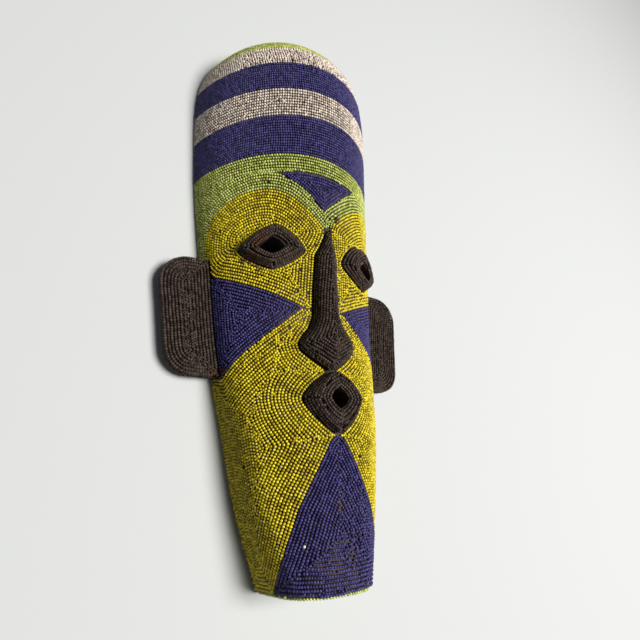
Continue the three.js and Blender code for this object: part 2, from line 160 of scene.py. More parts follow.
def onFace(across, along):
    y = np.interp(along, tableAlong, tableY)
    halfArc = np.interp(y, tableY, tableHalfArc)
    column = np.clip(np.abs(across) / halfArc, 0, 1) * (len(evenShare) - tableEnd)
    x = sampleGrid(tableShare, column, (y - tableY[0]) / tableStep) * halfWidthAt(y)
    z = faceHeight(x, y) - np.maximum(np.abs(across) - halfArc, 0) - np.maximum(along - tableAlong[-1], 0)
    return np.stack([np.sign(across) * x, y, z], -1)


def faceSheetPoint(angle, y):
    # From degrees round the mask's axis to the sheet.
    x, z, arc = sectionAt(y)
    angles = np.degrees(np.arctan2(x, z + face["axisDepth"]))
    if abs(angle) <= angles[-1]:
        across = np.interp(abs(angle), angles, arc)
    else:
        across = arc[-1] + face["axisDepth"] - x[-1] / math.tan(math.radians(abs(angle)))
    return (math.copysign(across, angle), float(np.interp(y, tableY, tableAlong)))


def faceSheetPlace(x, y):
    xs, _, arc = sectionAt(y)
    return (math.copysign(float(np.interp(abs(x), xs, arc)), x), float(np.interp(y, tableY, tableAlong)))


def divided(points, longest):
    result = []
    for (a0, b0), (a1, b1) in zip(points[:-1], points[1:]):
        count = max(1, math.ceil(math.hypot(a1 - a0, b1 - b0) / longest))
        result += [(a0 + (a1 - a0) * k / count, b0 + (b1 - b0) * k / count) for k in range(count)]
    return result + [points[-1]]


def onSheetPoints(points):
    return np.array([faceSheetPoint(angle, y) for angle, y in points])


def onSheet(points):
    # A line in degrees and millimetres, as a line on the face's sheet.
    longestStep = 3
    return onSheetPoints(divided(points, longestStep))


# The carved features that stand out of the face.
nose = {
    # Place along the mask, half width at the foot, height of the ridge, and its lean to the right.
    "stations": [(19.2, 1.2, 51, 3), (15.8, 2.6, 51.8, 3), (9, 3.9, 53.2, 1.7), (4, 5.4, 54, 0.9),
                 (0, 7.4, 54.4, 0.2), (-20, 8, 54, 0), (-38, 8.2, 53.8, 0), (-45, 11.2, 54.4, 0),
                 (-50, 15.6, 54.8, 0), (-54.5, 18.4, 54.8, 0), (-59, 17.6, 54.4, 0), (-64, 11.6, 53, 0),
                 (-68, 5.6, 50.6, 0), (-71, 1.4, 47.6, 0)],
    "roundness": 2.2, "squareness": 2.6, "rootDepth": 6, "step": 0.4, "from": -70.8, "to": 19,
}
mouth = {"centre": (0, -86), "side": 20, "topReach": 16, "bottomReach": 19.4, "frontSide": 14.4,
         "frontTopReach": 14.4, "frontBottomReach": 17.6, "front": 54.8, "foot": 46.4, "hole": 6.2}
# Corners of the eye rims: degrees round the mask's axis, and places along it.
eyes = {
    -1: {"centre": (-30.3, 1.6), "inner": -12.5, "outer": -50.2, "top": (-29.1, 17.1),
         "bottom": (-31.3, -11.1)},
    1: {"centre": (32.7, -2.4), "inner": 12.7, "outer": 49.3, "top": (28, 15.2), "bottom": (35.6, -13)},
}
# An eye rim's crest is a share of its outline, and the rim is lower by "drop" on both sides of it.
eyeRim = {"holeShare": 0.39, "crestShare": 0.7, "crestOutside": 0.08, "crestInside": 0.04, "rise": 5.5,
          "drop": 0.8}
diamondPower = 1.5
ears = {-1: {"centreY": -34, "halfLength": 35.4}, 1: {"centreY": -36.6, "halfLength": 34.8}}
earSlab = {
    "reach": {"top": 86.4, "bottom": 82.4}, "corner": 16, "cornerSteps": 8, "edgeTop": 9.4, "slope": 0.08,
    "rootHeight": 11.2, "rootGap": 0.4, "topAtFace": 11.6, "edgeRow": 7.1, "edgeRowDrop": 1.7,
}


def noseSection(y):
    # Half of a section across the nose, from its ridge to its foot.
    low = np.array(sorted(nose["stations"]))
    foot = np.interp(y, low[:, 0], low[:, 1])
    ridge = np.interp(y, low[:, 0], low[:, 2])
    base = float(faceHeight(0.0, y)) - nose["rootDepth"]
    side = np.sin(np.linspace(0, math.pi / 2, samples["noseSection"]))
    rise = np.maximum(1 - side ** nose["roundness"], 0) ** (1 / nose["squareness"])
    return foot * side, base + (ridge - base) * rise


noseY = np.arange(nose["from"], nose["to"], nose["step"])
noseMiddle = np.interp(noseY, *np.array(sorted(nose["stations"]))[:, [0, 3]].T)
noseSections = []
noseFoot, noseReach = {-1: [], 1: []}, {-1: [], 1: []}
for y, middle in zip(noseY, noseMiddle):
    x, z = noseSection(y)
    arc = runningSum(np.hypot(np.diff(x), np.diff(z)))
    noseSections.append((x, z, arc))
    for side in (-1, 1):
        below = z < faceHeight(middle + side * x, np.full_like(x, y))
        last = max(int(np.argmax(below)) if below.any() else len(x) - 1, 1)
        noseFoot[side].append(middle + side * x[last])
        noseReach[side].append(side * arc[last])
noseShare = np.linspace(0, 1, samples["evenNose"])
noseX = np.array([np.interp(noseShare * arc[-1], arc, x) for x, _, arc in noseSections])
noseZ = np.array([np.interp(noseShare * arc[-1], arc, z) for _, z, arc in noseSections])
noseArc = np.array([arc[-1] for _, _, arc in noseSections])


def onNose(across, along):
    row = (along - noseY[0]) / nose["step"]
    halfArc = np.interp(along, noseY, noseArc)
    column = np.clip(np.abs(across) / halfArc, 0, 1) * (len(noseShare) - tableEnd)
    middle = np.interp(along, noseY, noseMiddle)
    x = middle + np.sign(across) * sampleGrid(noseX, column, row)
    return np.stack([x, np.asarray(along, float), sampleGrid(noseZ, column, row)], -1)


def diamondReach(turn, left, right, bottom, top):
    across = np.sign(np.cos(turn)) * np.abs(np.cos(turn)) ** diamondPower
    along = np.sign(np.sin(turn)) * np.abs(np.sin(turn)) ** diamondPower
    return across * np.where(across < 0, left, right), along * np.where(along < 0, bottom, top)


turns = np.linspace(0, 2 * math.pi, samples["ring"], endpoint=False)


def eyeOutline(eye, share):
    (middle, level), top, bottom = eye["centre"], eye["top"], eye["bottom"]
    low, high = sorted((eye["inner"], eye["outer"]))
    lean = (bottom[0] - top[0]) / (bottom[1] - top[1])
    angle, along = diamondReach(turns, abs(low - middle) * share, abs(high - middle) * share,
                                abs(bottom[1] - level) * share, abs(top[1] - level) * share)
    return np.stack([middle + angle + lean * along, level + along], -1)


def eyeRing(eye, share, outside):
    points = []
    for angle, y in eyeOutline(eye, share):
        across, along = faceSheetPoint(angle, y)
        point = onFace(np.array([across]), np.array([along]))[0]
        way = np.array([math.sin(math.radians(angle)), 0, math.cos(math.radians(angle))])
        points.append(point + way * outside)
    return np.array(points)


def mouthRing(z, side, bottom, top):
    across, along = diamondReach(turns, side, side, bottom, top)
    return np.stack([mouth["centre"][0] + across, mouth["centre"][1] + along, np.full_like(across, z)], -1)


def earOutline(ear, side):
    corner, half, steps = earSlab["corner"], ear["halfLength"], earSlab["cornerSteps"]
    points = []
    for end, sign, start in (("bottom", -1, -math.pi / 2), ("top", 1, 0)):
        middle = earSlab["reach"][end] - corner
        for k in range(steps + 1):
            turn = start + math.pi / 2 * k / steps
            points.append((middle + corner * math.cos(turn),
                           sign * (half - corner) + corner * math.sin(turn)))
    return [(side * x, ear["centreY"] + y) for x, y in points]


# Flat geometry on a sheet.
def distanceTo(lines, u, v):
    best = np.full(u.shape, np.inf)
    for line in lines:
        for (a0, b0), (a1, b1) in zip(line[:-1], line[1:]):
            du, dv = a1 - a0, b1 - b0
            t = np.clip(((u - a0) * du + (v - b0) * dv) / max(du * du + dv * dv, nearZero), 0, 1)
            best = np.minimum(best, np.hypot(u - a0 - t * du, v - b0 - t * dv))
    return best


def insideOf(outline, u, v):
    inside = np.zeros(u.shape, bool)
    for (a0, b0), (a1, b1) in zip(outline, np.roll(outline, -1, axis=0)):
        if b0 != b1:
            crossing = (b0 > v) != (b1 > v)
            inside ^= crossing & (u < (a1 - a0) * (v - b0) / (b1 - b0) + a0)
    return inside


def contourLines(values, level):
    # Marching squares: every line of one level through a grid, as rows of (column, row).
    rows, columns = values.shape
    above = values >= level
    flat = above[:, 1:] != above[:, :-1]
    steep = above[1:, :] != above[:-1, :]
    firstSteep = rows * (columns - 1)
    flatId = np.arange(rows * (columns - 1)).reshape(rows, columns - 1)
    steepId = firstSteep + np.arange((rows - 1) * columns).reshape(rows - 1, columns)
    used = np.stack([flat[:-1], steep[:, 1:], flat[1:], steep[:, :-1]], -1)
    ids = np.stack([flatId[:-1], steepId[:, 1:], flatId[1:], steepId[:, :-1]], -1)
    links = {}
    for cell in np.argwhere(used.sum(-1) >= 2):
        edges = ids[tuple(cell)][used[tuple(cell)]]
        for a, b in zip(edges[0::2], edges[1::2]):
            links.setdefault(int(a), []).append(int(b))
            links.setdefault(int(b), []).append(int(a))

    def placeOf(edge):
        if edge < firstSteep:
            row, column = divmod(edge, columns - 1)
            a, b = values[row, column], values[row, column + 1]
            return (column + (level - a) / (b - a), row)
        row, column = divmod(edge - firstSteep, columns)
        a, b = values[row, column], values[row + 1, column]
        return (column, row + (level - a) / (b - a))

    lines, seen = [], set()
    for start in sorted(links, key=lambda edge: (len(links[edge]), edge)):
        if start in seen:
            continue
        chain, current = [start], start
        seen.add(start)
        while True:
            onward = [edge for edge in links[current] if edge not in seen]
            if not onward:
                break
            current = onward[0]
            seen.add(current)
            chain.append(current)
        if len(links[start]) == 2 and start in links[chain[-1]] and len(chain) > 3:
            chain.append(start)
        if len(chain) > 2:
            lines.append(np.array([placeOf(edge) for edge in chain], float))
    return lines


# Beads that are already glued down, sorted into cubes, so that no two of them share a place.
takenCells = {}


def placeIsFree(point, least):
    cell = tuple(int(math.floor(c / bead["leastDistance"])) for c in point)
    for dx in (-1, 0, 1):
        for dy in (-1, 0, 1):
            for dz in (-1, 0, 1):
                for other in takenCells.get((cell[0] + dx, cell[1] + dy, cell[2] + dz), ()):
                    gap = [a - b for a, b in zip(point, other)]
                    if gap[0] ** 2 + gap[1] ** 2 + gap[2] ** 2 < least ** 2:
                        return False
    takenCells.setdefault(cell, []).append(tuple(point))
    return True


# How the beads of a string are spaced: its least length in pitches, where its first bead may start in
# the slack, how much of the room between beads they wander, and how far a bead looks along it.
spacing = {"shortest": 0.6, "firstFrom": 0.2, "firstTo": 0.8, "wander": 0.25, "lookAhead": 0.7,
           "fewest": 3}


def spacedBeads(points, closed, pitch=bead["pitch"]):
    # Places at one spacing along a line in space, with the direction of the string at each.
    length = runningSum(np.linalg.norm(np.diff(points, axis=0), axis=1))
    if length[-1] < spacing["shortest"] * pitch:
        return None
    if closed:
        count = max(int(length[-1] / pitch), spacing["fewest"])
        stops = (np.arange(count) + rng.uniform()) / count * length[-1]
    else:
        slack = length[-1] % pitch
        stops = np.arange(slack * rng.uniform(spacing["firstFrom"], spacing["firstTo"]), length[-1], pitch)
    stops = stops + rng.normal(0, (pitch - bead["leastDistance"]) * spacing["wander"], len(stops))
    ahead = pointsAt(stops + spacing["lookAhead"], length, points)
    behind = pointsAt(stops - spacing["lookAhead"], length, points)
    return stops, length, pointsAt(stops, length, points), unit(ahead - behind)


def sheetNormal(place, u, v):
    step = 0.35
    du = place(u + step, v) - place(u - step, v)
    dv = place(u, v + step) - place(u, v - step)
    return unit(np.cross(du, dv))


# Slow waves, because no string was glued down quite straight.
slowWaves = {"count": 6, "least": 0.05, "most": 0.4}
waveShape = (slowWaves["count"], 2)
wobblePhases = rng.uniform(0, 2 * math.pi, waveShape)
wobbleWaves = rng.uniform(slowWaves["least"], slowWaves["most"], waveShape) * rng.choice([-1, 1], waveShape)


def wobble(u, v):
    total = np.zeros(u.shape)
    for (p, q), (a, b) in zip(wobblePhases, wobbleWaves):
        total += np.sin(u * a + v * b + p) * np.cos(v * a - u * b + q)
    return total / slowWaves["count"]


# How the rows of one field are drawn on its sheet. The shares are of the row pitch.
sheetRows = {"gridStep": 0.5, "margin": 3, "reachOut": 0.3, "waveFade": 4, "bandWave": 0.5,
             "edgeShare": 0.38, "spareEdgeShare": 0.36, "collarShare": 0.12, "wayStep": 0.4,
             "blurReach": 3}
gridStep = sheetRows["gridStep"]


def softened(values, width):
    # A blur of the rows' field, so that a string turns a corner in a curve.
    if width <= 0:
        return values
    reach = int(sheetRows["blurReach"] * width / gridStep)
    weights = np.exp(-0.5 * (np.arange(-reach, reach + 1) * gridStep / width) ** 2)
    weights /= weights.sum()
    for axis in (0, 1):
        padded = np.pad(values, [(reach, reach) if k == axis else (0, 0) for k in (0, 1)], mode="edge")
        values = sum(w * np.take(padded, np.arange(k, k + values.shape[axis]), axis=axis)
                     for k, w in enumerate(weights))
    return values


def closedLine(loop):
    return np.vstack([loop, loop[:1]])


def cornerDistance(corner, u, v):
    # Distance inwards from two straight edges, kept sharp round the outside of their corner.
    a, b, c, side = corner
    result = np.full(u.shape, -np.inf)
    for (a0, b0), (a1, b1) in ((a, b), (b, c)):
        length = math.hypot(a1 - a0, b1 - b0)
        result = np.maximum(result, side * ((a1 - a0) * (v - b0) - (b1 - b0) * (u - a0)) / length)
    return result


def sheetStrings(place, outline, guides, holes=(), guideHoles=(), collars=(), corner=None, bandOf=None,
                 wave=0.35, soft=0.8, pitch=bead["pitch"]):
    # The strings of one field run parallel to its guide lines and round its collars. Gives rows of
    # (level, place, way, normal) and the spare places where a single bead may fill a gap.
    outline = np.array(outline, float)
    low, high = outline.min(0) - sheetRows["margin"], outline.max(0) + sheetRows["margin"]
    us = np.arange(low[0], high[0] + gridStep, gridStep)
    vs = np.arange(low[1], high[1] + gridStep, gridStep)
    u, v = np.meshgrid(us, vs)
    inside = insideOf(outline, u, v)
    loops = [np.array(hole) for hole in (*holes, *guideHoles)]
    for loop in loops:
        inside &= ~insideOf(loop, u, v)
    toEdge = distanceTo([closedLine(loop) for loop in (outline, *loops)], u, v)
    room = np.where(inside, 1, -1) * toEdge
    apart = rowPitch
    if bandOf is None:
        toGuide = distanceTo([*guides, *[closedLine(np.array(hole)) for hole in guideHoles]], u, v)
        depth = np.where(~inside & (toGuide < toEdge + sheetRows["reachOut"]), -toGuide, toGuide)
        if corner is not None:
            depth = np.minimum(depth, cornerDistance(corner, u, v))
        depth = softened(depth, soft)
        depth = depth + wave * wobble(u, v) * np.clip(depth / sheetRows["waveFade"], 0, 1)
    else:
        lower, upper = bandOf
        bottom = np.interp(u, lower[:, 0], lower[:, 1])
        top = np.interp(u, upper[:, 0], upper[:, 1])
        width = np.median((top - bottom)[inside])
        apart = width / round(width / rowPitch)
        depth = (v - bottom) / (top - bottom) * width + wave * wobble(u, v) * sheetRows["bandWave"]
    rows = []

    def addRow(field, level, free, order):
        for line in contourLines(field, level):
            sheetLine = np.stack([us[0] + line[:, 0] * gridStep, vs[0] + line[:, 1] * gridStep], -1)
            keep = sampleGrid(free, line[:, 0], line[:, 1]) > 0
            if not keep.any():
                continue
            closed = keep.all() and np.allclose(line[0], line[-1])
            made = spacedBeads(place(sheetLine[:, 0], sheetLine[:, 1]), closed, pitch)
            if made is None:
                continue
            stops, length, _, way = made
            bu, bv = pointsAt(stops, length, sheetLine).T
            roomAt = sampleGrid(free, (bu - us[0]) / gridStep, (bv - vs[0]) / gridStep)
            clear = roomAt > sheetRows["edgeShare"] * rowPitch
            if clear.any():
                bu, bv, way = bu[clear], bv[clear], way[clear]
                rows.append((order, place(bu, bv), way, sheetNormal(place, bu, bv)))

    collarsFirst = 100
    for line, count in collars:
        toLine = distanceTo([line], u, v)
        for k in range(count):
            addRow(toLine, (k + 0.5) * rowPitch, room, k - collarsFirst)
        room = np.minimum(room, toLine - (count - sheetRows["collarShare"]) * rowPitch)
    deepest = depth[inside].max()
    level = apart / 2
    while level < deepest:
        addRow(depth, level, room, level)
        level += apart
    slopeV, slopeU = np.gradient(depth)
    steepness = np.maximum(np.hypot(slopeU, slopeV), nearZero)
    spare = inside & (toEdge > sheetRows["spareEdgeShare"] * rowPitch)
    su, sv = u[spare], v[spare]
    du = (-slopeV / steepness)[spare] * sheetRows["wayStep"]
    dv = (slopeU / steepness)[spare] * sheetRows["wayStep"]
    way = unit(place(su + du, sv + dv) - place(su - du, sv - dv))
    return {"rows": rows, "spare": (place(su, sv), way, sheetNormal(place, su, sv))}


def ringStrings(rings):
    # Strings round a feature, one above the other from its foot to the edge of its hole.
    shareStep = 0.03
    stack = np.array(rings)
    steps = np.linalg.norm(np.diff(stack, axis=0), axis=2)
    length = np.concatenate([np.zeros((1, stack.shape[1])), np.cumsum(steps, axis=0)])
    count = round(float(length[-1].mean()) / rowPitch)
    rows = []

    def ringAt(share):
        return np.array([pointsAt(share * length[-1, k], length[:, k], stack[:, k])
                         for k in range(stack.shape[1])])

    for i in range(count):
        share = (i + 0.5) / count
        upLoop = closedLine(ringAt(share + shareStep) - ringAt(share - shareStep))
        stops, lengths, place, way = spacedBeads(closedLine(ringAt(share)), True, tightPitch)
        rows.append((share, place, way, unit(np.cross(way, pointsAt(stops, lengths, upLoop)))))
    return rows


# Places on the mask, each with how far round it the spot reaches. Here beads have come off.
bareSpots = [((16.3, -133.5), 1.1), ((0.4, -139), 1.3), ((0, -142.6), 1.0), ((-29.4, -44.7), 1.1),
             ((-24.2, 48.2), 1.2), ((-52.8, -66.5), 1.2), ((-30.5, 99), 0.9)]
# Single pale beads among the blue ones.
paleSpots = [((-20.4, -157.3), 0.8), ((-27.4, -178.6), 0.8)]
# Places where the beads were glued down carelessly.
messySpots = [((9, -134), 8), ((12, -150), 9), ((6, -164), 7), ((31, -16), 7), ((-12, 134), 12),
              ((24, 136), 12), ((-40, 134), 10), ((7, 26), 3)]
# Places where brown glue has come up over the beads. Those on the left eye's rim are given by a share
# of its outline, a height over the face and the steps round its ring.
glueSpots = [((-53.5, -67.5), 4), ((9.6, 26.6), 2.4), ((3, -72), 2.4), ((0, -140.5), 2.2), ((24, -8), 2)]
for share, outside, corners in ((0.46, eyeRim["rise"], (46, 53, 60, 67)), (1.02, 0, (86, 91, 96))):
    glueSpots += [(tuple(eyeRing(eyes[-1], share, outside)[k][:2]), 2.2) for k in corners]


def nearSpot(point, spots):
    return any(math.hypot(point[0] - x, point[1] - y) < reach for (x, y), reach in spots)


def makeMesh(name, points, faces=()):
    mesh = bpy.data.meshes.new(name)
    mesh.from_pydata([tuple(p) for p in points], [], [tuple(f) for f in faces])
    mesh.update()
    return mesh


# Materials.
def linearColour(text):
    channels = [int(text[k:k + 2], 16) / 255 for k in (1, 3, 5)]
    return [c / 12.92 if c <= 0.04045 else ((c + 0.055) / 1.055) ** 2.4 for c in channels] + [1.0]


def addNode(tree, kind, inputs=(), **settings):
    node = tree.nodes.new(kind)
    for key, value in settings.items():
        setattr(node, key, value)
    for key, value in dict(inputs).items():
        if isinstance(value, bpy.types.NodeSocket):
            tree.links.new(value, node.inputs[key])
        else:
            node.inputs[key].default_value = value
    return node


def startMaterial(name):
    material = bpy.data.materials.new(name)
    material.use_nodes = True
    tree = material.node_tree
    return material, tree, tree.nodes["Principled BSDF"]


spotColours = {"pale": "#d8d4b8", "glued": "#4d301d"}  # a few pale beads, and glue over the beads


def seedBeadGlass(name, dark, light, roughness, gloss):
    # Opaque pressed glass: the eye sees a soft glint on every bead, a slightly different colour from
    # bead to bead, and dull brown where the glue has come up over them.
    material, tree, surface = startMaterial(name)
    tone = addNode(tree, "ShaderNodeAttribute", attribute_name="beadTone")
    ramp = addNode(tree, "ShaderNodeValToRGB", {"Fac": tone.outputs["Fac"]})
    ramp.color_ramp.elements[0].color = linearColour(dark)
    ramp.color_ramp.elements[1].color = linearColour(light)
    colour = ramp.outputs["Color"]
    for attribute, other in spotColours.items():
        share = addNode(tree, "ShaderNodeAttribute", attribute_name=attribute).outputs["Fac"]
        mixed = addNode(tree, "ShaderNodeMix", {0: share, 6: colour, 7: linearColour(other)},
                        data_type="RGBA")
        colour = mixed.outputs[2]
    tree.links.new(colour, surface.inputs["Base Color"])
    surface.inputs["Roughness"].default_value = roughness
    surface.inputs["Specular IOR Level"].default_value = gloss
    return material


glassLooks = {
    "yellow": seedBeadGlass("yellow glass seed beads", "#988506", "#e6d41e", 0.3, 0.4),
    "green": seedBeadGlass("pea green glass seed beads", "#87902f", "#c9d276", 0.3, 0.4),
    "white": seedBeadGlass("off-white glass seed beads", "#a09086", "#efe3d6", 0.3, 0.4),
    "blue": seedBeadGlass("navy glass seed beads", "#262350", "#49447a", 0.45, 0.25),
    "black": seedBeadGlass("brown-black glass seed beads", "#281f1a", "#50453e", 0.5, 0.15),
}

# How carelessly the beads are laid, and how their looks vary.
laying = {"sink": 0.05, "messySlip": 0.24, "slipTurn": 2, "turn": 0.07, "fillSpan": 1.5,
          "sizeVariation": 0.16, "blueSizeVariation": 0.2, "palePower": 40, "paleShare": 0.35,
          "leastGlue": 0.3, "firstSeed": 3, "seedCycle": 997, "toneSeed": 7.0}


def makeBead(name, endRadius):
    points, faces = [], []
    count, half = bead["sides"], bead["halfLength"]
    for x, r in ((-half, endRadius), (0, bead["radius"]), (half, endRadius)):
        for k in range(count):
            turn = 2 * math.pi * (k + 0.5) / count
            points.append((x * mm, r * math.cos(turn) * mm, r * math.sin(turn) * mm))
    for ring in range(2):
        for k in range(count):
            a, b = ring * count + k, ring * count + (k + 1) % count
            faces.append((a, b, b + count, a + count))
    faces.append(tuple(reversed(range(count))))
    faces.append(tuple(range(2 * count, 3 * count)))
    faces = [tuple(reversed(corners)) for corners in faces]
    mesh = makeMesh(name, points, faces)
    mesh.shade_smooth()
    return bpy.data.objects.new(name, mesh)


def beadStringTree():
    # One bead on every point, turned along its string, with its back to the carving.
    tree = bpy.data.node_groups.new("bead strings", "GeometryNodeTree")
    sockets = tree.interface
    for name, kind in (("Points", "NodeSocketGeometry"), ("Bead", "NodeSocketObject"),
                       ("Size variation", "NodeSocketFloat"), ("Seed", "NodeSocketInt"),
                       ("Glass", "NodeSocketMaterial")):
        sockets.new_socket(name, in_out="INPUT", socket_type=kind)
    sockets.new_socket("Beads", in_out="OUTPUT", socket_type="NodeSocketGeometry")
    given = addNode(tree, "NodeGroupInput").outputs
    way = addNode(tree, "GeometryNodeInputNamedAttribute", {"Name": "way"}, data_type="FLOAT_VECTOR")
    out = addNode(tree, "GeometryNodeInputNamedAttribute", {"Name": "out"}, data_type="FLOAT_VECTOR")
    along = addNode(tree, "FunctionNodeAlignRotationToVector", {"Vector": way.outputs[0]}, axis="X")
    upright = addNode(tree, "FunctionNodeAlignRotationToVector",
                      {"Rotation": along.outputs[0], "Vector": out.outputs[0]}, axis="Z", pivot_axis="X")
    less = addNode(tree, "ShaderNodeMath", {0: 1.0, 1: given["Size variation"]}, operation="SUBTRACT")
    size = addNode(tree, "FunctionNodeRandomValue", {2: less.outputs[0], 3: 1.0, "Seed": given["Seed"]},
                   data_type="FLOAT")
    grain = addNode(tree, "GeometryNodeInputNamedAttribute", {"Name": "grain"}, data_type="FLOAT")
    scale = addNode(tree, "ShaderNodeMath", {0: size.outputs[1], 1: grain.outputs[0]},
                    operation="MULTIPLY")
    model = addNode(tree, "GeometryNodeObjectInfo", {"Object": given["Bead"]})
    placed = addNode(tree, "GeometryNodeInstanceOnPoints",
                     {"Points": given["Points"], "Instance": model.outputs["Geometry"],
                      "Rotation": upright.outputs[0], "Scale": scale.outputs[0]})
    another = addNode(tree, "ShaderNodeMath", {0: given["Seed"], 1: laying["toneSeed"]},
                      operation="ADD")
    tone = addNode(tree, "FunctionNodeRandomValue", {2: 0.0, 3: 1.0, "Seed": another.outputs[0]},
                   data_type="FLOAT")
    toned = addNode(tree, "GeometryNodeStoreNamedAttribute",
                    {"Geometry": placed.outputs[0], "Name": "beadTone", "Value": tone.outputs[1]},
                    data_type="FLOAT", domain="INSTANCE")
    real = addNode(tree, "GeometryNodeRealizeInstances", {"Geometry": toned.outputs[0]})
    dressed = addNode(tree, "GeometryNodeSetMaterial",
                      {"Geometry": real.outputs[0], "Material": given["Glass"]})
    result = addNode(tree, "NodeGroupOutput")
    tree.links.new(dressed.outputs[0], result.inputs[0])
    return tree


# The blue and black beads have wide ends, so that their strings look like cords.
roundBead = makeBead("seed bead", bead["endRadius"])
wideBead = makeBead("seed bead with wide ends", bead["wideEndRadius"])
stringTree = beadStringTree()
stringInputs = {item.name: item.identifier for item in stringTree.interface.items_tree
                if item.in_out == "INPUT"}
beadCount = 0


def gluedBeads(strings, least, above):
    # Goes along the strings and then fills the gaps. Gives the places, ways, normals and sizes.
    spare = None
    if isinstance(strings, dict):
        strings, spare = strings["rows"], strings["spare"]
    beads = []

    def glue(point, way, normal, apart, size):
        if point[2] < bead["rimClearance"] + bead["radius"] or nearSpot(point, bareSpots):
            return
        if above is not None and not above(point):
            return
        if placeIsFree(point, apart) and rng.uniform() > bead["missingShare"]:
            messy = laying["messySlip"] if nearSpot(point, messySpots) else 0
            slip = rng.normal(0, 1, 3) * messy
            moved = point + slip - normal * slip.dot(normal)
            beads.append((moved, way + slip * laying["slipTurn"], normal, size))

    for _, place, way, normal in sorted(strings, key=lambda row: row[0]):
        sunk = bead["radius"] + np.abs(rng.normal(0, laying["sink"], len(place)))
        for found in zip(place - normal * sunk[:, None], way, normal):
            glue(*found, least, 1.0)
    if spare is not None:
        taken = [point for cell in takenCells.values() for point in cell]
        tree = KDTree(len(taken))
        for k, point in enumerate(taken):
            tree.insert(point, k)
        tree.balance()
        place, way, normal = spare
        centre = place - normal * bead["radius"]
        gaps = np.array([tree.find(point)[2] for point in centre])
        for k in np.argsort(-gaps):
            if gaps[k] < bead["fillDistance"]:
                break
            size = min(gaps[k] / laying["fillSpan"], 1.0)
            glue(centre[k], way[k], normal[k], min(bead["fillDistance"], least), size)
    return [np.array(column) for column in zip(*beads)]


def beadPoints(node, colour, places, ways, normals, sizes):
    # The beads' places as points, with what the tree and the glass read from them.
    mesh = makeMesh(node, (places + (0, face["middleShift"], 0)) * mm)
    ways = ways + rng.normal(0, laying["turn"], ways.shape)
    pale = rng.uniform(size=len(places)) ** laying["palePower"] * laying["paleShare"] * (colour != "black")
    if colour == "blue":
        pale = np.array([1.0 if nearSpot(point, paleSpots) else 0.0 for point in places])
    glued = np.array([rng.uniform(laying["leastGlue"], 1) if nearSpot(point, glueSpots) else 0.0
                      for point in places])
    for name, values in (("way", ways), ("out", normals)):
        attribute = mesh.attributes.new(name, "FLOAT_VECTOR", "POINT")
        attribute.data.foreach_set("vector", values.astype(np.float32).ravel())
    for name, values in (("pale", pale), ("glued", glued), ("grain", sizes)):
        mesh.attributes.new(name, "FLOAT", "POINT").data.foreach_set("value", values.astype(np.float32))
    return mesh


def threaded(points, colour):
    # The points with a bead on each of them, as one plain mesh.
    holder = bpy.data.objects.new("bead points", points)
    bpy.context.scene.collection.objects.link(holder)
    modifier = holder.modifiers.new("bead strings", "NODES")
    modifier.node_group = stringTree
    inputs = {
        "Bead": wideBead if colour in tightColours else roundBead,
        "Size variation": laying["blueSizeVariation"] if colour == "blue" else laying["sizeVariation"],
        "Seed": laying["firstSeed"] + beadCount % laying["seedCycle"],
        "Glass": glassLooks[colour],
    }
    for name, value in inputs.items():
        modifier[stringInputs[name]] = value
    holder.update_tag()
    bpy.context.view_layer.update()
    depsgraph = bpy.context.evaluated_depsgraph_get()
    finished = bpy.data.meshes.new_from_object(
        holder.evaluated_get(depsgraph), preserve_all_data_layers=True, depsgraph=depsgraph)
    bpy.data.objects.remove(holder)
    return finished


def threadBeads(node, colour, strings, above=None):
    # Makes one colour field's beads and puts them in the place of its plain skin.
    global beadCount
    least = bead["tightDistance"] if colour == "black" else bead["leastDistance"]
    beads = gluedBeads(strings, least, above)
    finished = threaded(beadPoints(node, colour, *beads), colour)
    piece = bpy.data.objects.new(node.replace("beads_", "strings_"), finished)
    bpy.context.scene.collection.objects.link(piece)
    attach(piece, "root")
    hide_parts(node)
    beadCount += len(beads[0])
    finished.calc_loop_triangles()
    print(node, len(beads[0]), "beads", len(finished.loop_triangles), "triangles")


def beadField(node, colour, place, outline, guides, above=None, **settings):
    pitch = tightPitch if colour in tightColours else bead["pitch"]
    strings = sheetStrings(place, outline, guides, pitch=pitch, **settings)
    threadBeads(node, colour, strings, above)


# The rows of the features come first, because the rows of the face stop at them. An eye rim's profile
# runs from its foot over its round crest to its hole: share of the outline, height over the face.
eyeProfile = ((1.0, 0.0), (eyeRim["crestShare"] + eyeRim["crestOutside"], eyeRim["rise"] - eyeRim["drop"]),
              (eyeRim["crestShare"] - eyeRim["crestInside"], eyeRim["rise"]),
              (eyeRim["holeShare"], eyeRim["rise"] - eyeRim["drop"]))
footDepth = 1.2  # how far under the face the rows of the nose and the mouth still go
for side, name in sides:
    rings = [eyeRing(eyes[side], share, outside) for share, outside in eyeProfile]
    threadBeads("beads_black_eye_" + name, "black", ringStrings(rings))

noseLoop = np.vstack([np.stack([noseReach[1], noseY], -1),
                      np.stack([noseReach[-1][::-1], noseY[::-1]], -1)])
beadField("beads_black_nose", "black", onNose, noseLoop, [closedLine(noseLoop)],
          above=lambda point: point[2] > float(faceHeight(point[0], point[1])) - footDepth,
          wave=0.3, soft=1.2)

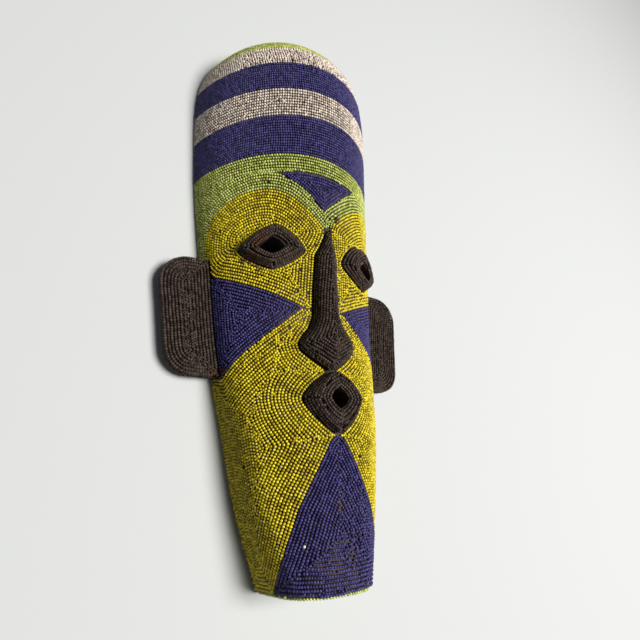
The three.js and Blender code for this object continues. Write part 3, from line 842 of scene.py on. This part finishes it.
# The mouth's rings: its foot, the round edge of its front, and the hole in the front.
mouthEdge = {"drop": 1.4, "out": 0.6, "inSide": 0.8, "inReach": 1, "keepRound": 9}
mouthRings = [
    mouthRing(mouth["foot"], mouth["side"], mouth["bottomReach"], mouth["topReach"]),
    mouthRing(mouth["front"] - mouthEdge["drop"], mouth["frontSide"] + mouthEdge["out"],
              mouth["frontBottomReach"] + mouthEdge["out"], mouth["frontTopReach"] + mouthEdge["out"]),
    mouthRing(mouth["front"], mouth["frontSide"] - mouthEdge["inSide"],
              mouth["frontBottomReach"] - mouthEdge["inReach"],
              mouth["frontTopReach"] - mouthEdge["inReach"]),
    mouthRing(mouth["front"], mouth["hole"], mouth["hole"], mouth["hole"]),
]


def onMouth(point):
    x, y, z = point
    fromCentre = abs(x) + abs(y - mouth["centre"][1])
    return z > float(faceHeight(x, y)) - footDepth or fromCentre < mouthEdge["keepRound"]


threadBeads("beads_black_mouth", "black", ringStrings(mouthRings), above=onMouth)
print("nose, mouth and eye rims done", beadCount)


# The ears: concentric rows on the upper face, two more on the edge.
def earTopHeight(x):
    return earSlab["edgeTop"] + (earSlab["reach"]["top"] - np.abs(x)) * earSlab["slope"]


def onEar(across, along):
    return np.stack([across, along, earTopHeight(across)], -1)


def bodyEdgeAt(y, height):
    x, z, _ = sectionAt(y)
    return float(np.interp(-height, -z, x))


for side, name in sides:
    ear = ears[side]
    outer = earOutline(ear, side)
    lowEnd, highEnd = outer[0][1], outer[-1][1]
    inner = [(side * (bodyEdgeAt(y, earSlab["rootHeight"]) - earSlab["rootGap"]), y)
             for y in np.linspace(highEnd, lowEnd, samples["earRoot"])]
    loop = np.array(outer + inner)
    strings = sheetStrings(onEar, loop, [closedLine(loop)], wave=0.4, soft=1.8, pitch=tightPitch)
    rim = np.array([inner[-1]] + outer + [inner[0]])
    points = np.array([(x, y, earSlab["edgeRow"]) for x, y in divided([tuple(p) for p in rim], 1.0)])
    stops, length, place, way = spacedBeads(points, False, tightPitch)
    normal = np.cross(way, np.array([0, 0, 1.0]))
    normal *= np.sign(normal[len(normal) // 2, 0]) * side
    lower = place + way * tightPitch / 2 - (0, 0, earSlab["edgeRowDrop"])
    strings["rows"] += [(-2, place, way, normal), (-1, lower, way, normal)]  # glued down first
    threadBeads("beads_black_ear_" + name, "black", strings)
print("ears done", beadCount)


def clearOfEars(point):
    endGap, topGap = 0.4, 0.1
    for side, ear in ears.items():
        beside = point[0] * side > 0 and abs(point[1] - ear["centreY"]) < ear["halfLength"] + endGap
        if beside and point[2] < earTopHeight(point[0]) + topGap:
            return False
    return True


# Borders between the colour fields, in degrees round the mask's axis and places along it. The lower
# edges of the two lower bands drop and tilt towards the sides.
bandEdges = {
    "crownRim": 145.8, "whiteUpper": 128.2, "blueUpper": 107.7,
    "whiteLower": {"middle": 89.2, "drop": 1.4, "tilt": 1.6, "at": 75},
    "blueLower": {"middle": 63.8, "drop": 5.6, "tilt": 0, "at": 75},
}
foreheadTriangle = [(-26.2, 50.6), (-14, 52), (0, 52.2), (12, 51.8), (23, 51.8), (15.5, 45), (9, 39.2),
                    (0.1, 29.7), (-4.4, 33.8), (-9.2, 38.8), (-13.6, 42.6), (-20, 46.8)]
browArch = {
    -1: [(0, 18.3), (-5.7, 24), (-10, 28.2), (-15.5, 32.8), (-21, 36.6), (-27, 38.9), (-34, 39.9),
         (-41, 39.2), (-48, 37.2), (-54, 34.8), (-60, 30.8), (-66, 24.8), (-70, 18.6), (-71.6, 9), (-72, 0),
         (-70, -5.4)],
    1: [(5.4, 19.6), (6.4, 23.3), (11.2, 28.2), (16, 32.4), (23, 37.6), (31, 41.6), (38, 43), (45, 42),
        (52, 38.6), (58, 33.6), (64, 27), (69, 19.6), (71.6, 9), (72, 0), (70, -5.4)],
}
cheek = {"apex": (14, -32.4), "top": (65, -11.6), "side": 80, "foot": (64.2, -71), "earFoot": (84, -66),
         "neckY": -33.4}
chinEdge = [(1, -105.2), (4, -107.4), (14, -125.2), (22.4, -140), (29, -156), (34, -168.4), (39.4, -180.2)]
chinEndLine = -180.2
sideAngle = 100


def acrossMask(line):
    # A band's edge from one side of the mask to the other.
    angleStep = 5
    mostShare = 1.1
    points = []
    for angle in range(-sideAngle, sideAngle + 1, angleStep):
        y = line
        if isinstance(line, dict):
            share = min(max(angle / line["at"], -mostShare), mostShare)
            y = line["middle"] + line["tilt"] * share - line["drop"] * share ** 2
        points.append((angle, y))
    return points


def onSide(points, side):
    return [(side * abs(angle), y) for angle, y in points]


# Outlines of the features on the face's sheet.
footGap = 0.2
noseOnFace = np.array([faceSheetPlace(x + footGap, y) for x, y in zip(noseFoot[1], noseY)]
                      + [faceSheetPlace(x - footGap, y) for x, y in zip(noseFoot[-1][::-1], noseY[::-1])])
mouthX, mouthY = diamondReach(turns, mouth["side"] - footGap, mouth["side"] - footGap,
                              mouth["bottomReach"] - footGap, mouth["topReach"] - footGap)
mouthOnFace = np.array([faceSheetPlace(x, y + mouth["centre"][1]) for x, y in zip(mouthX, mouthY)])
eyesOnFace = {side: onSheetPoints(eyeOutline(eyes[side], 1.0)) for side in eyes}


def backRimLine(side):
    inwards = 0.15
    ys = np.arange(-face["halfLength"], face["halfLength"] - 1, 2)
    across = side * (np.interp(ys, tableY, tableHalfArc) - inwards)
    return np.stack([across, np.interp(ys, tableY, tableAlong)], -1)


def bandField(node, colour, lower, upper, wave=0.35):
    low, high = (onSheet(acrossMask(bandEdges[edge])) for edge in (lower, upper))
    beadField(node, colour, onFace, np.vstack([low, high[::-1]]), None, bandOf=(low, high), wave=wave)


bandField("beads_white_band_upper", "white", "whiteUpper", "crownRim", wave=0.7)
bandField("beads_blue_band_upper", "blue", "blueUpper", "whiteUpper", wave=0.8)
bandField("beads_white_band_lower", "white", "whiteLower", "blueUpper")
bandField("beads_blue_band_lower", "blue", "blueLower", "whiteLower", wave=0.9)
crownLine = onSheet(acrossMask(bandEdges["crownRim"]))
overCrown = 7.4  # far enough round the end of the crown to reach the surface below
crownTop = tableAlong[-1] + overCrown
crownOutline = np.vstack([crownLine, [(crownLine[-1, 0], crownTop), (crownLine[0, 0], crownTop)]])
beadField("beads_green_crown_rim", "green", onFace, crownOutline, [crownLine], wave=0.5)
print("bands done", beadCount)

blueLowerPoints = acrossMask(bandEdges["blueLower"])
topLine = onSheet(blueLowerPoints)
archLines = {side: onSheet(browArch[side]) for side in browArch}
triangleLoop = onSheet(foreheadTriangle + foreheadTriangle[:1])[:-1]
browFoot = {"angle": 71, "y": -6}
browOutline = onSheet(
    blueLowerPoints[::-1] + [(-sideAngle, browFoot["y"]), (-browFoot["angle"], browFoot["y"])]
    + browArch[-1][::-1] + browArch[1]
    + [(browFoot["angle"], browFoot["y"]), (sideAngle, browFoot["y"]), blueLowerPoints[-1]])
beadField("beads_green_brow", "green", onFace, browOutline, [archLines[-1], archLines[1]],
          above=clearOfEars, holes=[triangleLoop], collars=[(topLine, 6)])
beadField("beads_blue_forehead_triangle", "blue", onFace, triangleLoop, [closedLine(triangleLoop)],
          wave=0.4)
print("brow done", beadCount)

for side, name in sides:
    apex, top, foot, under = onSide([cheek[corner] for corner in ("apex", "top", "foot", "earFoot")], side)
    neck = [(side, cheek["neckY"]), (apex[0], cheek["neckY"])]
    fieldOutline = onSheet(browArch[side] + [top, apex] + neck[::-1] + browArch[side][:1])
    cheekLine = onSheet([browArch[side][-1], top, apex])
    beadField("beads_yellow_eye_field_" + name, "yellow", onFace, fieldOutline,
              [archLines[side], cheekLine], above=clearOfEars, holes=[eyesOnFace[side]],
              guideHoles=[noseOnFace], collars=[(closedLine(eyesOnFace[side]), 1)])

    upper = [(side * sideAngle, top[1]), (side * cheek["side"], top[1]), top, apex]
    lower = [apex, foot, under, (side * sideAngle, under[1])]
    earLine = np.array([faceSheetPlace(side * bodyEdgeAt(y, earSlab["topAtFace"]), y)
                        for y in np.linspace(top[1], foot[1], samples["cheekBesideEar"])])
    beadField("beads_blue_cheek_triangle_" + name, "blue", onFace, onSheet(upper + lower[1:] + upper[:1]),
              [onSheet(upper), onSheet(lower), earLine], above=clearOfEars, soft=1.6, wave=0.7)

    chinLine = onSide(chinEdge, side)
    bottom = (side * sideAngle, chinLine[-1][1])
    cheekOutline = onSheet(neck + lower + [bottom] + chinLine[::-1] + neck[:1])
    bend = [faceSheetPoint(*place) for place in (apex, foot, under)]
    beadField("beads_yellow_cheek_" + name, "yellow", onFace, cheekOutline,
              [onSheet(chinLine), onSheet([bottom, chinLine[-1]]), backRimLine(side)], above=clearOfEars,
              guideHoles=[noseOnFace, mouthOnFace], corner=(*bend, -side))
print("cheeks done", beadCount)

# At the chin's end the blue reaches over the edge in the middle, and green beads show beside it.
overEdge = {"from": -15.6, "to": -0.5, "y": -181.8}
leftChin, rightChin = onSide(chinEdge, -1), onSide(chinEdge, 1)
blueTongue = [(overEdge["from"], chinEndLine), (overEdge["from"], overEdge["y"]),
              (overEdge["to"], overEdge["y"]), (overEdge["to"], chinEndLine)]
chinOutline = onSheet(leftChin + blueTongue + rightChin[::-1] + leftChin[:1])
chinGuides = [onSheet(leftChin), onSheet(rightChin), onSheet([leftChin[-1], rightChin[-1]])]
beadField("beads_blue_chin", "blue", onFace, chinOutline, chinGuides, holes=[mouthOnFace], wave=0.6,
          soft=1.0)

chinY = -face["chinReach"]
edgeOutline = onSheet([(-sideAngle, chinEndLine), (sideAngle, chinEndLine), (sideAngle, chinY),
                       (-sideAngle, chinY)])
edgeRow = sheetStrings(onFace, edgeOutline, [edgeOutline[:2]], wave=0.0)
endHalf = float(halfWidthAt(chinY))
endX = np.linspace(-endHalf, endHalf, samples["chinArch"])
endArch = np.stack([endX, faceHeight(endX, np.full_like(endX, chinY))], -1)
endArch[0, 1] = endArch[-1, 1] = 0


def onChinEnd(across, up):
    return np.stack([across, np.full_like(across, chinY), up], -1)


endRows = sheetStrings(onChinEnd, endArch, [closedLine(endArch)])
threadBeads("beads_green_chin_end", "green",
            {"rows": edgeRow["rows"] + endRows["rows"], "spare": endRows["spare"]})
print("all beads", beadCount)


# The carving: plain brown wood behind, and almost black under the beads, where old brown glue is darkened
# further as painted shade for the gaps between the beads.
# The widths are millimetres, and the grain is drawn coarser than a real one, so that it shows.
woodLooks = {
    "grainWidth": 3.7, "grainStretch": 10, "grainDetail": 5.0, "blotWidth": 6.25, "blotDetail": 2.0,
    "rampEnds": (0.35, 0.7), "roughness": 0.7, "turnsBareBelow": -0.05,
    # The glued colours are old brown glue, made nearly black as painted shade in the gaps between the
    # beads.
    "plain": ("#3a2416", "#5e4029"), "glued": ("#150c07", "#3a261b"),
    # Where the bare wood of a hole's wall shows, and how far round.
    "bareSpots": [(eyeRing(eyes[1], 0.01, 0)[0], 9), (eyeRing(eyes[-1], 0.42, 2)[56], 4),
                  (np.array([5, mouth["centre"][1] + 4, mouth["front"]]), 4.5)],
}


def carvedWood():
    # The eye sees fine grain on bare wood, and dark blots where the glue has soaked in, made darker than
    # the glue alone as painted shade between the beads.
    material, tree, surface = startMaterial("carved hardwood with old brown glue and painted gap shade")
    where = addNode(tree, "ShaderNodeTexCoord")
    place = where.outputs["Object"]
    grain = addNode(tree, "ShaderNodeMapping",
                    {"Vector": place, "Scale": (1, 1 / woodLooks["grainStretch"], 1)})
    colours = {}
    for name, pattern, vector in (("plain", "grain", grain.outputs[0]), ("glued", "blot", place)):
        noise = addNode(tree, "ShaderNodeTexNoise",
                        {"Vector": vector, "Scale": 1 / (woodLooks[pattern + "Width"] * mm),
                         "Detail": woodLooks[pattern + "Detail"]})
        ramp = addNode(tree, "ShaderNodeValToRGB", {"Fac": noise.outputs[0]})
        for element, at, colour in zip(ramp.color_ramp.elements, woodLooks["rampEnds"], woodLooks[name]):
            element.position = at
            element.color = linearColour(colour)
        colours[name] = ramp.outputs["Color"]
    facing = addNode(tree, "ShaderNodeSeparateXYZ", {0: where.outputs["Normal"]})
    bare = addNode(tree, "ShaderNodeMath", {0: facing.outputs[2], 1: woodLooks["turnsBareBelow"]},
                   operation="LESS_THAN").outputs[0]
    for spot, reach in woodLooks["bareSpots"]:
        centre = (spot + (0, face["middleShift"], 0)) * mm
        away = addNode(tree, "ShaderNodeVectorMath", {0: place, 1: tuple(centre)}, operation="DISTANCE")
        near = addNode(tree, "ShaderNodeMath", {0: away.outputs["Value"], 1: reach * mm},
                       operation="LESS_THAN")
        bare = addNode(tree, "ShaderNodeMath", {0: bare, 1: near.outputs[0]},
                       operation="MAXIMUM").outputs[0]
    mixed = addNode(tree, "ShaderNodeMix", {0: bare, 6: colours["glued"], 7: colours["plain"]},
                    data_type="RGBA")
    tree.links.new(mixed.outputs[2], surface.inputs["Base Color"])
    surface.inputs["Roughness"].default_value = woodLooks["roughness"]
    return material


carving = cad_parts["wooden_mask"]  # keeps its shape from the solids
carving.data.materials.clear()
carving.data.materials.append(carvedWood())
print("carving done")

# Stage: a plain pale surface under the mask, in metres.
stageFloor = {"reach": 3, "z": -0.0002, "colour": "#bdc0c2", "roughness": 0.9}
reach, z = stageFloor["reach"], stageFloor["z"]
floorCorners = [(-reach, -reach, z), (reach, -reach, z), (reach, reach, z), (-reach, reach, z)]
floorMesh = makeMesh("floor", floorCorners, [(0, 1, 2, 3)])
floor = bpy.data.objects.new("floor", floorMesh)
bpy.context.scene.collection.objects.link(floor)
floorMaterial, _, floorSurface = startMaterial("pale floor")
floorSurface.inputs["Base Color"].default_value = linearColour(stageFloor["colour"])
floorSurface.inputs["Roughness"].default_value = stageFloor["roughness"]
floorMesh.materials.append(floorMaterial)

# Camera, fitted to the photograph. The turn is an axis as long as its angle in radians, and the shift
# is in millimetres.
cameraFit = {"sensor": 36, "lens": 28.42, "turn": (2.6857, 0.0537, 0.821),
             "shift": (-23.26, -23.70, 339.58)}
cameraData = bpy.data.cameras.new("camera")
cameraData.sensor_width = cameraFit["sensor"]
cameraData.lens = cameraFit["lens"]
cameraData.clip_start = 0.01
camera = bpy.data.objects.new("camera", cameraData)
bpy.context.scene.collection.objects.link(camera)
turnVector = Vector(cameraFit["turn"])
turn = Matrix.Rotation(turnVector.length, 3, turnVector.normalized())
shift = Vector(cameraFit["shift"])
camera.location = (turn.transposed() @ -shift + Vector((0, face["middleShift"], 0))) * mm
camera.rotation_mode = "QUATERNION"
camera.rotation_quaternion = (turn.transposed() @ Matrix.Diagonal((1, -1, -1))).to_quaternion()
bpy.context.scene.camera = camera

# Light: a dim room, with one broad lamp high up, a little to the right and towards the chin. Its
# places and its size are in metres.
roomLight = {"colour": "#e9eef5", "strength": 0.11}
ceilingLight = {"place": (0.65, -0.2, 2.0), "target": (0, 0, 0.03), "size": 0.85, "power": 73,
                "colour": "#fffcf6"}
world = bpy.data.worlds.new("room light")
bpy.context.scene.world = world
world.use_nodes = True
world.node_tree.nodes["Background"].inputs["Color"].default_value = linearColour(roomLight["colour"])
world.node_tree.nodes["Background"].inputs["Strength"].default_value = roomLight["strength"]
bpy.context.scene.view_settings.view_transform = "Standard"
lampData = bpy.data.lights.new("ceiling light", "AREA")
lampData.shape = "SQUARE"
lampData.size = ceilingLight["size"]
lampData.energy = ceilingLight["power"]
lampData.color = linearColour(ceilingLight["colour"])[:3]
lamp = bpy.data.objects.new("ceiling light", lampData)
bpy.context.scene.collection.objects.link(lamp)
lamp.location = ceilingLight["place"]
lamp.rotation_mode = "QUATERNION"
towardsLamp = Vector(ceilingLight["place"]) - Vector(ceilingLight["target"])
lamp.rotation_quaternion = towardsLamp.to_track_quat("Z", "Y")
print("stage, camera and light done")

# The two bead models have done their work.
for model in (roundBead, wideBead):
    bpy.data.objects.remove(model)
